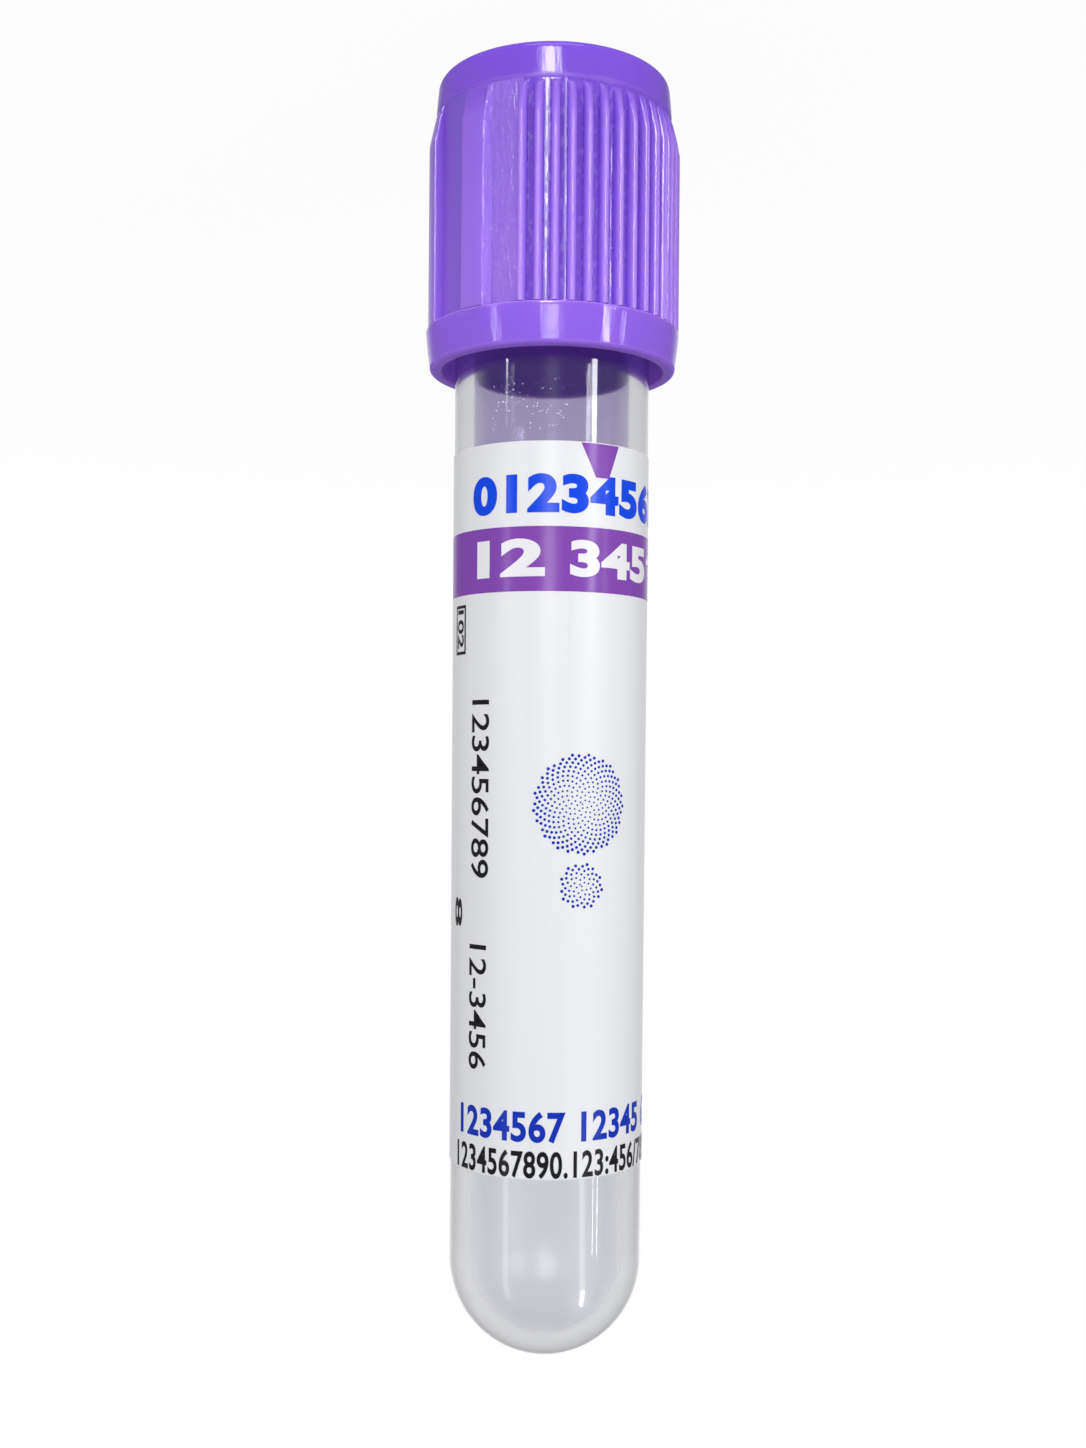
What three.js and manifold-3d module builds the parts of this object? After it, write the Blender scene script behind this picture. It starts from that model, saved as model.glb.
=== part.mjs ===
// A blood collection tube of the 13 x 75 mm class: a clear round-bottomed tube with a label round
// it, and a ribbed cap that holds the rubber stopper. A round tube rolls off a bench on its side,
// so it stands on the flat top of its cap, round bottom up.
import * as THREE from 'three';
import { mergeVertices } from 'three/addons/utils/BufferGeometryUtils.js';
import Module from 'manifold-3d';

const wasm = await Module();
wasm.setup();

// ---- Driving dimensions: millimetres and degrees -------------------------------------------
// Heights run up the tube's own axis from the outside of its round bottom. Angles run round it
// from the front, where the print faces, towards +X.
const sides = 48; // flats round every turned piece

// Tube
const tubeLength = 75;
const mouthRadius = 6.5;
const tubeDraft = 0.15; // its radius grows by this towards the mouth, as moulding needs
const tubeWall = 1.25;
const domeWall = 1.3;

// Label
const labelAboveDome = 6.55;
const labelBelowCap = 5.7;
const labelThickness = 0.1;
const labelGap = 0.05; // the glue line
const windowWidth = 5; // bare strip at the back, to see the sample through

// Stopper
const stopperClearance = 0.3; // round the plug, under the head and under the cap's lip
const plugLength = 6;
const headOverhang = 0.45; // of the head past the tube's mouth
const headHeight = 7.2;
const needleWellRadius = 3.6; // dish in the head that guides the needle
const needleWellDepth = 3.2;
const septum = 4.2; // rubber that the needle goes through
const cavityRadius = 3.3; // room for the needle's tip under the septum
const plugChamfer = 0.6;

// Cap, outside
const skirtOverlap = 9.8; // down over the tube from its mouth
const capWall = 0.66; // round the stopper's head, at the floor between the ribs
const bandHeight = 2.1;
const bandDraft = 0.14;
const bandRound = 0.55;
const flangeHeight = 2.6;
const flangeProud = 0.02; // past the ribs' crests
const flangeDraft = 0.18;
const flangeRound = 0.4;

// Cap, ribs and smooth panels
const ribHeight = 0.57;
const ribCrestWidth = 0.55;
const ribFootWidth = 0.75;
const ribPitch = 7.5;
const ribsPerField = 14; // between two panels
const ribChamferLength = 2.7;
const panelAngle = -55.5; // middle of one smooth panel; the other is opposite
const panelHalfAngle = 10.7; // from its middle to the bar at its side
const barAngle = 12; // width of a bar's crest
const barFlankAngle = 3.3; // slope from a bar's crest down to the rib field

// Cap, inside
const skirtWall = 0.85; // at the skirt's open end
const beadClearance = 0.3; // between the bead and the tube's mouth
const beadHeight = 0.7;
const beadDrop = 0.4; // from the bead's top down from the tube's end
const pocketClearance = 0.25; // round the stopper's head
const lipThickness = 1.5;
const lipHoleRadius = 4.4;
const lipChamfer = 0.35;

// ---- Sizes that follow ---------------------------------------------------------------------
const radians = Math.PI / 180;
const domeRadius = mouthRadius - tubeDraft;
const tubeTaper = (mouthRadius - domeRadius) / (tubeLength - domeRadius);
const tubeRadiusAt = (height) => domeRadius + tubeTaper * (height - domeRadius);
const headBottom = tubeLength + stopperClearance;
const headTop = headBottom + headHeight;
const lipUnderside = headTop + stopperClearance;
const capTop = lipUnderside + lipThickness;
const skirtBottom = tubeLength - skirtOverlap;
const flangeTop = skirtBottom + flangeHeight;
const bandBottom = capTop - bandHeight;
const labelBottom = domeRadius + labelAboveDome;
const labelTop = skirtBottom - labelBelowCap;
const headRadius = mouthRadius + headOverhang;
const pocketRadius = headRadius + pocketClearance;
const bandBottomRadius = pocketRadius + capWall;
const bandTopRadius = bandBottomRadius - bandDraft;
const crestRadius = bandBottomRadius + ribHeight;
const flangeTopRadius = crestRadius + flangeProud;
const flangeBottomRadius = flangeTopRadius - flangeDraft;

// ---- Helpers -------------------------------------------------------------------------------
const at = (radius, height) => new THREE.Vector2(radius, height);

/** Points of a round corner or dome in a profile; angles are in degrees from straight outwards. */
function arc(centre, radius, from, to, steps) {
  return Array.from({ length: steps + 1 }, (_, i) => {
    const angle = (from + ((to - from) * i) / steps) * radians;
    return at(centre.x + radius * Math.cos(angle), centre.y + radius * Math.sin(angle));
  });
}

/** A piece turned about the tube's axis. One of its flats faces the front and one the back. */
function turned(profile) {
  return new THREE.LatheGeometry(profile, sides, Math.PI / sides).rotateX(Math.PI / 2);
}

/** A ring or shell whose profile doesn't reach the axis. */
const turnedRing = (profile) => turned([...profile, profile[0]]);

/** A three.js geometry as a solid that can be joined and cut. */
function solid(geometry) {
  const bare = geometry.clone().deleteAttribute('normal').deleteAttribute('uv');
  const merged = mergeVertices(bare);
  return new wasm.Manifold(
    new wasm.Mesh({
      numProp: 3,
      vertProperties: merged.getAttribute('position').array,
      triVerts: Uint32Array.from(merged.getIndex().array),
    }),
  );
}

/** A solid back as a three.js geometry. */
function geometryOf(body) {
  const mesh = body.getMesh();
  const geometry = new THREE.BufferGeometry();
  geometry.setAttribute('position', new THREE.BufferAttribute(mesh.vertProperties, 3));
  geometry.setIndex(new THREE.BufferAttribute(mesh.triVerts, 1));
  geometry.computeVertexNormals();
  return geometry;
}

// ---- Pieces --------------------------------------------------------------------------------
function tubeGeometry() {
  const boreRadius = domeRadius - tubeWall;
  const outerDome = arc(at(0, domeRadius), domeRadius, -90, 0, 12);
  const innerDome = arc(at(0, domeWall + boreRadius), boreRadius, 0, -90, 12);
  outerDome[0].x = 0;
  innerDome[12].x = 0;
  return turned([
    ...outerDome,
    at(mouthRadius, tubeLength),
    at(mouthRadius - tubeWall, tubeLength),
    ...innerDome,
  ]);
}

function labelGeometry() {
  const inner = (height) => tubeRadiusAt(height) + labelGap;
  const wrap = turnedRing([
    at(inner(labelBottom), labelBottom),
    at(inner(labelBottom) + labelThickness, labelBottom),
    at(inner(labelTop) + labelThickness, labelTop),
    at(inner(labelTop), labelTop),
  ]);
  const window = new THREE.BoxGeometry(windowWidth, mouthRadius * 2, tubeLength);
  window.translate(0, mouthRadius, tubeLength / 2);
  return geometryOf(solid(wrap).subtract(solid(window)));
}

function stopperGeometry() {
  const plugRadius = mouthRadius - tubeWall - stopperClearance;
  const plugBottom = tubeLength - plugLength;
  const septumTop = headTop - needleWellDepth;
  const septumBottom = septumTop - septum;
  return turned([
    at(0, septumBottom),
    at(cavityRadius, septumBottom),
    at(cavityRadius, plugBottom),
    at(plugRadius - plugChamfer, plugBottom),
    at(plugRadius, plugBottom + plugChamfer),
    at(plugRadius, headBottom),
    at(headRadius, headBottom),
    at(headRadius, headTop),
    at(needleWellRadius, headTop),
    at(needleWellRadius, septumTop),
    at(0, septumTop),
  ]);
}

/** The cap without its ribs: band, flange, skirt, the bead under the stopper's head and the lip. */
function shellGeometry() {
  const flangeCorner = at(flangeBottomRadius - flangeRound, skirtBottom + flangeRound);
  const bandCorner = at(bandTopRadius - bandRound, capTop - bandRound);
  const skirtRadius = flangeBottomRadius - skirtWall;
  const beadRadius = mouthRadius + beadClearance;
  const beadTop = tubeLength - beadDrop;
  const beadSlope = pocketRadius - beadRadius;
  return turnedRing([
    at(skirtRadius, skirtBottom),
    ...arc(flangeCorner, flangeRound, -90, 0, 4),
    at(flangeTopRadius, flangeTop),
    at(bandBottomRadius, flangeTop),
    at(bandBottomRadius, bandBottom),
    ...arc(bandCorner, bandRound, 0, 90, 5),
    at(lipHoleRadius + lipChamfer, capTop),
    at(lipHoleRadius, capTop - lipChamfer),
    at(lipHoleRadius, lipUnderside),
    at(pocketRadius, lipUnderside),
    at(pocketRadius, beadTop + beadSlope),
    at(beadRadius, beadTop),
    at(beadRadius, beadTop - beadHeight),
    at(pocketRadius, beadTop - beadHeight - beadSlope),
  ]);
}

/** A straight ridge up the cap; its outline is given as [across, radius] points. */
function ridge(outline, angle) {
  const section = new THREE.Shape(outline.map(([across, radius]) => at(across, -radius)));
  const prism = new THREE.ExtrudeGeometry(section, {
    depth: bandBottom + ribChamferLength - flangeTop,
    bevelEnabled: false,
  });
  return solid(prism.translate(0, 0, flangeTop).rotateZ(angle * radians));
}

/** All the ridges, trimmed to one turned envelope that slopes in to the band at the top. */
function ridges() {
  const rootRadius = (pocketRadius + bandBottomRadius) / 2;
  const outRadius = crestRadius + ribHeight; // past the envelope, which trims it
  const rib = [
    [-ribFootWidth / 2, rootRadius],
    [ribFootWidth / 2, rootRadius],
    [ribCrestWidth / 2, outRadius],
    [-ribCrestWidth / 2, outRadius],
  ];
  const across = (degrees, radius) => radius * Math.tan(degrees * radians);
  const barHalf = barAngle / 2;
  const bar = (side) => [
    [-side * across(barHalf, rootRadius), rootRadius],
    [side * across(barHalf + barFlankAngle, rootRadius), rootRadius],
    [side * across(barHalf + barFlankAngle, bandBottomRadius), bandBottomRadius],
    [side * across(barHalf, crestRadius), crestRadius],
    [side * across(barHalf, outRadius), outRadius],
    [-side * across(barHalf, outRadius), outRadius],
  ];
  const all = [];
  for (const panel of [panelAngle, panelAngle + 180]) {
    for (const side of [-1, 1]) {
      all.push(ridge(bar(side), panel + side * (panelHalfAngle + barHalf)));
    }
    for (let i = 0; i < ribsPerField; i++) {
      all.push(ridge(rib, panel + 90 + (i - (ribsPerField - 1) / 2) * ribPitch));
    }
  }
  const envelope = turned([
    at(0, flangeTop),
    at(crestRadius, flangeTop),
    at(crestRadius, bandBottom - ribChamferLength),
    at(rootRadius, bandBottom),
    at(0, bandBottom),
  ]);
  return wasm.Manifold.union(all).intersect(solid(envelope));
}

function capGeometry() {
  return geometryOf(solid(shellGeometry()).add(ridges()));
}

function piece(name, geometry, look) {
  const mesh = new THREE.Mesh(geometry, new THREE.MeshStandardMaterial(look));
  mesh.name = name;
  return mesh;
}

// ---- The tube at rest ----------------------------------------------------------------------
// It is turned over, to stand on the flat ring round the hole in the cap's top.
const group = new THREE.Group();
group.rotation.y = Math.PI;
group.position.z = capTop;
group.add(
  piece('tube', tubeGeometry(), {
    color: 0xe6ecf2, roughness: 0.08, metalness: 0, transparent: true, opacity: 0.35,
  }),
  piece('label', labelGeometry(), { color: 0xf0f1f6, roughness: 0.45, metalness: 0 }),
  piece('stopper', stopperGeometry(), { color: 0x8a8794, roughness: 0.7, metalness: 0 }),
  piece('cap', capGeometry(), { color: 0x7a4fd0, roughness: 0.3, metalness: 0 }),
);

export default group;
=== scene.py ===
# %% [markdown]
# # A blood collection tube
# The real thing is a clear, round-bottomed plastic tube, 13 mm across and 75 mm long. A paper-like
# film label wraps round it, and a grey rubber stopper inside a violet ribbed cap closes it. A round
# tube rolls away on its side, so it stands on the flat top of its cap, round bottom up.
#
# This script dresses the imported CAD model. The CAD keeps the sizes, the bodies and the joints. Here
# each CAD node gets a finer piece in its place, made from the same sizes, because flats, sharp edges
# and one plain colour are all that the CAD carries.

import math

import bmesh
import bpy
import numpy as np
from mathutils import Matrix, Vector


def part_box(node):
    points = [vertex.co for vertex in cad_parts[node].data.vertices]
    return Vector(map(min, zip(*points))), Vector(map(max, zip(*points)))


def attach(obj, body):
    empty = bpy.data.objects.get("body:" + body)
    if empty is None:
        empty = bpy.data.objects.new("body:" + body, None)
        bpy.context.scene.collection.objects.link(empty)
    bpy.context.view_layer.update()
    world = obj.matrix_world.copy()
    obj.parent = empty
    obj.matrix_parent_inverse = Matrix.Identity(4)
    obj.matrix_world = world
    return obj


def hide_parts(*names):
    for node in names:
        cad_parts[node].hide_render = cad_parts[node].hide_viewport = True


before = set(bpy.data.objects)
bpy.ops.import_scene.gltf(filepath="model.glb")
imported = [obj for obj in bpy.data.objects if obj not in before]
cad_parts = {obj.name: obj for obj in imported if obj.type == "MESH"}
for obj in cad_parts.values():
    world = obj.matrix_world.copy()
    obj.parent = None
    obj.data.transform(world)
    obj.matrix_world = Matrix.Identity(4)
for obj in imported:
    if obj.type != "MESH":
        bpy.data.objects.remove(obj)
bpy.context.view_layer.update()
bpy.context.scene.view_settings.view_transform = "Standard"

# %% [markdown]
# ## Where things are
# Sizes below are in millimetres, as a drawing has them, and one helper turns them into Blender's
# metres. Every piece is turned about one axis, so three numbers say where a point is: its distance
# from the axis, its angle round it, and its distance along it. Angles are in degrees from the front,
# where the print faces, and grow to the right of someone reading the print. Distance along the tube
# is counted from the tip of the round bottom towards the cap, because that is how the tube is
# drawn and read. The cap is down here, so a larger distance is nearer the floor.

# %% Axis and helpers for places
MM = 0.001
tip_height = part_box("tube")[1].z / MM
mouth = tip_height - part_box("tube")[0].z / MM
cap_top = tip_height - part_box("cap")[0].z / MM
skirt_end = tip_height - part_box("cap")[1].z / MM
label_low = tip_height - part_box("label")[1].z / MM
label_high = tip_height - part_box("label")[0].z / MM
plug_end = tip_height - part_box("stopper")[1].z / MM
head_end = tip_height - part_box("stopper")[0].z / MM


def place(radius, angle, along):
    """A point in metres, from its distance off the axis, its angle and its distance along."""
    turn = math.radians(angle)
    return Vector((-radius * math.sin(turn), -radius * math.cos(turn), tip_height - along)) * MM


print(f"tube 0 to {mouth:.1f}, label {label_low:.1f} to {label_high:.1f}")
print(f"stopper {plug_end:.1f} to {head_end:.1f}, cap {skirt_end:.1f} to {cap_top:.1f}")

# %% [markdown]
# ## Turned pieces
# A lathe makes a round piece by sweeping one outline round an axis. The same is done here with plain
# vertices: each row is one point of the outline, and each column one angle. Blender's Spin and Screw
# do this too, but writing the grid out lets columns crowd together where a rib needs them.


# %% Mesh helpers
def mesh_object(name, vertices, faces, sharp_angle=35):
    """A new object in the scene, its faces turned outwards, shaded smooth up to the sharp angle."""
    mesh = bpy.data.meshes.new(name)
    mesh.from_pydata([tuple(v) for v in vertices], [], faces)
    shaped = bmesh.new()
    shaped.from_mesh(mesh)
    bmesh.ops.recalc_face_normals(shaped, faces=shaped.faces)
    shaped.to_mesh(mesh)
    shaped.free()
    mesh.shade_smooth()
    mesh.set_sharp_from_angle(angle=math.radians(sharp_angle))
    made = bpy.data.objects.new(name, mesh)
    bpy.context.scene.collection.objects.link(made)
    return made


def turned(name, outline, angles, wobble=None, sharp_angle=35):
    """An outline of (radius, along) points swept round the axis. A point on the axis is one vertex.
    An outline with no point on the axis closes on itself, as a ring does."""
    ring = all(radius > 0 for radius, _ in outline)
    vertices, rows = [], []
    for radius, along in outline:
        if radius == 0:
            rows.append([len(vertices)] * len(angles))
            vertices.append(place(0, 0, along))
            continue
        rows.append(list(range(len(vertices), len(vertices) + len(angles))))
        for angle in angles:
            shift = wobble(radius, angle, along) if wobble else 0
            vertices.append(place(radius + shift, angle, along))
    faces = []
    for lower, upper in zip(rows, rows[1:] + rows[:1] if ring else rows[1:]):
        for i in range(len(angles)):
            k = (i + 1) % len(angles)
            corners = [lower[i], lower[k], upper[k], upper[i]]
            faces.append(tuple(dict.fromkeys(corners)))
    return mesh_object(name, vertices, faces, sharp_angle=sharp_angle)


def rounded(centre, radius, start, end, steps):
    """Points of a round corner: degrees from straight outwards, towards the cap."""
    radius_at, along_at = centre
    return [
        (radius_at + radius * math.cos(math.radians(start + (end - start) * i / steps)),
         along_at + radius * math.sin(math.radians(start + (end - start) * i / steps)))
        for i in range(steps + 1)
    ]


def report(piece):
    """Says what a piece came out as."""
    mesh = piece.data
    mesh.calc_loop_triangles()
    print(f"{piece.name}: {len(mesh.vertices)} vertices, {len(mesh.loop_triangles)} triangles")
    return piece


# %% [markdown]
# ## Building node trees
# Geometry Nodes and materials are both trees of nodes, and much of each is plain arithmetic: one
# Math node after another. Here a Wire holds one output of a node, and Python's signs on it add the
# Math nodes, so that a rule reads as the formula that it is.


# %% Node helpers
class Wire:
    """An output of a node. Arithmetic on it adds Math nodes to its tree."""

    def __init__(self, socket):
        self.socket = socket
        self.tree = socket.id_data

    def __add__(self, other):
        return calc("ADD", self, other)

    def __sub__(self, other):
        return calc("SUBTRACT", self, other)

    def __rsub__(self, other):
        return calc("SUBTRACT", other, self)

    def __mul__(self, other):
        return calc("MULTIPLY", self, other)

    def __truediv__(self, other):
        return calc("DIVIDE", self, other)

    def __lt__(self, other):
        return calc("LESS_THAN", self, other)

    def __gt__(self, other):
        return calc("GREATER_THAN", self, other)


def node(tree, kind, inputs=(), **settings):
    """A node with its settings, and its inputs given by name or number, as values or as Wires."""
    made = tree.nodes.new(kind)
    for key, value in settings.items():
        setattr(made, key, value)
    for key, value in dict(inputs).items():
        if isinstance(value, Wire):
            tree.links.new(value.socket, made.inputs[key])
        else:
            made.inputs[key].default_value = value
    return made


def wire(tree, kind, inputs=(), output=0, **settings):
    """One output of a new node."""
    return Wire(node(tree, kind, inputs, **settings).outputs[output])


def calc(operation, *values, clamp=False):
    """A Math node on these values, of which at least one is a Wire."""
    tree = next(value.tree for value in values if isinstance(value, Wire))
    return wire(tree, "ShaderNodeMath", dict(enumerate(values)), operation=operation,
                use_clamp=clamp)


def ramp(value, start, end, low=0.0, high=1.0, smooth=False):
    """Low up to the start, high from the end on, and an even or a smooth run between the two."""
    return wire(value.tree, "ShaderNodeMapRange", {
        "Value": value, "From Min": start, "From Max": end, "To Min": low, "To Max": high,
    }, interpolation_type="SMOOTHSTEP" if smooth else "LINEAR")


def split(vector):
    """The three numbers of a vector."""
    return [Wire(number) for number in
            node(vector.tree, "ShaderNodeSeparateXYZ", {0: vector}).outputs]


def joined(x, y, z=0.0):
    """A vector from its three numbers."""
    return wire(x.tree, "ShaderNodeCombineXYZ", {0: x, 1: y, 2: z})


def vector_calc(operation, vector, inputs=(), output=0):
    """A Vector Math node on this vector, with its other inputs if it has any."""
    return wire(vector.tree, "ShaderNodeVectorMath", {0: vector, **dict(inputs)}, output,
                operation=operation)


def feed(value, shader, name):
    """Links a Wire to a shader's input."""
    value.tree.links.new(value.socket, shader.inputs[name])


def colour(red, green, blue):
    """A colour written as on screen, 0 to 255, in the linear values that shaders use."""
    linear = [
        c / 255 / 12.92 if c / 255 <= 0.04045 else ((c / 255 + 0.055) / 1.055) ** 2.4
        for c in (red, green, blue)
    ]
    return (*linear, 1)


# %% [markdown]
# ## Camera
# The tube is seen from level with its middle, close enough that the cap is seen a little from below
# and the round bottom a little from above. A tube is shown with its cap on top, and here the cap is
# the lower end, so the camera is turned over: its up points down the tube to the cap.

# %% Camera
render_height = 1448
focal = 1600 / render_height  # in heights of the render
eye_along = 38.87
eye_distance = 107.24
lean = math.radians(0.49)

camera_data = bpy.data.cameras.new("camera")
camera_data.sensor_fit = "AUTO"
camera_data.sensor_width = 36
camera_data.lens = focal * camera_data.sensor_width
camera_data.shift_x = -0.0039
camera_data.shift_y = 0.0304
camera_data.clip_start = 0.005
camera_data.clip_end = 20
camera = bpy.data.objects.new("camera", camera_data)
bpy.context.scene.collection.objects.link(camera)
right = Vector((-math.cos(lean), 0, -math.sin(lean)))
up = Vector((math.sin(lean), 0, -math.cos(lean)))
back = right.cross(up)
turn = Matrix((right, up, back)).transposed().to_4x4()
camera.matrix_world = Matrix.Translation(place(eye_distance, 0, eye_along)) @ turn
bpy.context.scene.camera = camera
print("camera at", [round(c, 4) for c in camera.location], "lens", round(camera_data.lens, 2))

# %% [markdown]
# ## The cap
# The cap is one injection moulding. Its top band and its two smooth panels are polished in the
# mould. Between the panels run two fields of grip ribs, with a smooth floor between them. A broad
# bar stands at each side of each panel.
#
# The ribs follow a rule, so a Geometry Nodes tree raises them: it reads where each point of a plain
# turned blank lies round the axis, folds that angle into one quarter of the cap, and works out how
# high the ribs and bars stand there. The blank's columns crowd at every rib's crest and flanks.

# %% Sizes of the cap
flange_top = skirt_end + 2.6
slope_start = cap_top - 2.1  # where the ribs' upper ends begin to rise
floor_end = slope_start - 0.35  # the band's lower edge, a small step over the floor
band_radius = 7.86
band_top_radius = 7.72
floor_radius = 7.82  # the panels and the floor between the ribs
flange_top_radius = 8.45
flange_end_radius = 8.19
rib_height = 0.61
rib_half_width = 0.33
rib_pitch = 7.5
first_rib = 41.25  # degrees from the middle of a panel
panel_middle = -55.5
panel_half = 10.7
bar_end = 22.7
flank_end = 26.0
slope_length = 2.7
rib_drop = 0.55  # from where the slope starts down to the ribs' rounded tops

# %% Columns of the blank
middle_radius = floor_radius + rib_height / 2
rib_steps = (0.0, 0.05, 0.1, 0.15, 0.2, 0.25, 0.285, 0.31, 0.325, 0.335, 0.36, 0.42, 0.48)


def quarter_columns():
    """Angles from the middle of a panel, 0 to 90 degrees, closer together where the shape turns."""
    columns = list(np.arange(0, panel_half - 0.3, 1.3))
    columns += [panel_half + d for d in (-0.1, 0.0, 0.12, 0.3, 0.45, 0.55, 0.7, 0.9)]
    columns += list(np.arange(panel_half + 2, bar_end - 1, 1.5))
    columns += [bar_end + d for d in (-0.9, -0.4, 0.0, 0.4, 0.9, 1.6)]
    columns += [flank_end + d for d in (-1.0, -0.5, 0.0, 0.5)]
    columns += list(np.arange(flank_end + 2, first_rib - 3.4, 2))
    for rib in np.arange(first_rib, 90, rib_pitch):
        columns += [rib + side * math.degrees(step / middle_radius)
                    for step in rib_steps for side in (-1, 1)]
        columns += [rib + rib_pitch / 2]
    return sorted({round(c, 4) for c in columns if 0 <= c <= 90})


quarter = quarter_columns()
half = quarter + [180 - c for c in quarter if 0 < c < 90] + [180.0]
cap_angles = sorted({round(c, 4) for c in half + [-c for c in half if 0 < c < 180]})
cap_angles = [c + panel_middle for c in cap_angles]
print(len(cap_angles), "columns round the cap")

# %% The turned blank of the cap
flange_side = [
    (flange_end_radius + (flange_top_radius - flange_end_radius) * share
     + 0.02 * math.sin(math.pi * share), skirt_end + 0.3 + (flange_top - 0.4 - skirt_end) * share)
    for share in (0.15, 0.3, 0.45, 0.6, 0.75, 0.9)
]
cap_outline = [
    (7.42, skirt_end + 0.08),
    (7.5, skirt_end),
    *rounded((flange_end_radius - 0.3, skirt_end + 0.3), 0.3, -90, 0, 8),
    *flange_side,
    *rounded((flange_top_radius - 0.1, flange_top - 0.1), 0.1, 0, 80, 4),
    (floor_radius + 0.05, flange_top),
    (floor_radius, flange_top + 0.05),
    *[(floor_radius, flange_top + step) for step in (0.2, 2, 4, 6, 8, 10, 11)],
    *[(floor_radius, slope_start - slope_length + step)
      for step in (-0.25, 0, 0.2, 0.4, 0.65, 0.9, 1.15, 1.4, 1.6, 1.75, 1.87, 1.96, 2.03, 2.09,
                   2.14, 2.2)],
    (floor_radius, floor_end - 0.05),
    (floor_radius, floor_end),
    (floor_radius + 0.027, floor_end + 0.05),
    (floor_radius + 0.03, floor_end + 0.1),
    (floor_radius + 0.03, floor_end + 0.4),
    ((band_radius + band_top_radius) / 2, cap_top - 1.2),
    *rounded((band_top_radius - 0.55, cap_top - 0.55), 0.55, 0, 90, 10),
    (4.85, cap_top),
    (4.75, cap_top - 0.02),
    (4.42, cap_top - 0.33),
    (4.4, cap_top - 0.42),
    (4.4, cap_top - 1.4),
    (4.48, cap_top - 1.5),
    (7.1, cap_top - 1.5),
    (7.2, cap_top - 1.6),
    (7.2, mouth),
    (6.8, mouth - 0.4),
    (6.8, mouth - 1.1),
    (7.2, mouth - 1.5),
]
cap_blank = turned("violet_shell", cap_outline, cap_angles)
report(cap_blank)


# %% A Geometry Nodes tree with named sizes
def geometry_tree(name, sizes):
    """A tree that takes and gives geometry, and its inputs by name: one for each size."""
    tree = bpy.data.node_groups.new(name, "GeometryNodeTree")
    tree.interface.new_socket("Geometry", in_out="INPUT", socket_type="NodeSocketGeometry")
    tree.interface.new_socket("Geometry", in_out="OUTPUT", socket_type="NodeSocketGeometry")
    for size, value in sizes.items():
        kind = "NodeSocketInt" if isinstance(value, int) else "NodeSocketFloat"
        tree.interface.new_socket(size, in_out="INPUT", socket_type=kind)
    tree.interface.new_socket("Material", in_out="INPUT", socket_type="NodeSocketMaterial")
    given = node(tree, "NodeGroupInput").outputs
    return tree, {socket.name: Wire(socket) for socket in given if socket.name}


def finish_tree(tree, geometry, material):
    """The last nodes of every tree: instances made real, then the material."""
    real = wire(tree, "GeometryNodeRealizeInstances", {0: geometry})
    dressed = wire(tree, "GeometryNodeSetMaterial", {"Geometry": real, "Material": material})
    node(tree, "NodeGroupOutput", {0: dressed})


def grow(piece, tree, sizes, material):
    """Runs the tree on the piece with these values, and keeps the result as its plain mesh."""
    modifier = piece.modifiers.new(tree.name, "NODES")
    modifier.node_group = tree
    sockets = {s.name: s.identifier for s in tree.interface.items_tree if s.in_out == "INPUT"}
    for size, value in sizes.items():
        modifier[sockets[size]] = value
    modifier[sockets["Material"]] = material
    bpy.context.view_layer.update()
    depsgraph = bpy.context.evaluated_depsgraph_get()
    mesh = bpy.data.meshes.new_from_object(piece.evaluated_get(depsgraph))
    piece.modifiers.remove(modifier)
    piece.data = mesh
    return piece


# %% [markdown]
# ## Rib rule
# `fold` is the angle from the middle of the nearest panel, 0 to 90 degrees. A rib's section is a
# narrow round crest with steep flanks, and the floor between two ribs is a shallow hollow. A bar is
# steep at its panel's side and slopes down to the field at the other. One slope cuts all the ribs
# and bars at their upper end, and a smooth smaller-of-two rounds the bars' cut.
#
# The tree also says what the mould's surface is at each point, and where light is painted, in five
# marks that the material reads: one for the satin finish and painted sheen of ribs and bars, with a
# painted highlight on the flange's upper edge, `eroded` on all the floor between them, `groove` on
# the part of that floor between two ribs, which is painted darker as shade, `shade` on a panel's far
# half, for painted shade there, and `skin_roughness`. The marks are stored before the points move,
# because they are worked out from where each point lies.

# %% The tree that raises the ribs
rib_sizes = {
    "Panel middle": panel_middle,
    "Panel half angle": panel_half,
    "Bar end": bar_end,
    "Flank end": flank_end,
    "First rib": first_rib,
    "Rib pitch": rib_pitch,
    "Rib half width": rib_half_width * MM,
    "Rib height": rib_height * MM,
    "Floor radius": floor_radius * MM,
    "Flange height": (tip_height - flange_top) * MM,
    "Slope start height": (tip_height - slope_start) * MM,
    "Slope length": slope_length * MM,
    "Rib drop": rib_drop * MM,
    "Hollow depth": 0.012 * MM,
    "Rim height": (tip_height - skirt_end - 0.3) * MM,
}
crest_power = 0.55  # under 1, so a rib's flanks are steep and its crest is broad
rib_end_power = 0.6  # the same for a rib's upper end
bar_step = 0.9  # degrees in which a bar rises beside its panel
gap_fade = 0.5  # degrees in which a bar's finish gives way to the floor's
nearly_whole = 0.99  # of a bar's height, where its crest is cut flat
low_profile, lowest_profile = 0.5, 0.15  # shares of a rib's height where the floor's finish sets in
# painted sheen: this share also makes the bars and the wide gaps beside them paler
half_satin_and_sheen = 0.55  # how satin the bars and the wide gaps beside them are
shade_from, shade_to = -9.0, 6.0  # degrees from a panel's middle
# painted highlight: the flange's upper edge is marked satin, which paints it as a thin paler line
edge_reach = 0.09 * MM  # of the flange's satin upper edge
proud_by = 0.4 * MM  # what is further out than this is the flange
step_at, step_reach = 0.31 * MM, 0.06 * MM  # the small step over the ribs, up from their slope
polished, satin_adds, step_adds, rim_adds = 0.1, 0.04, 0.4, 0.6  # roughness


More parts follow.
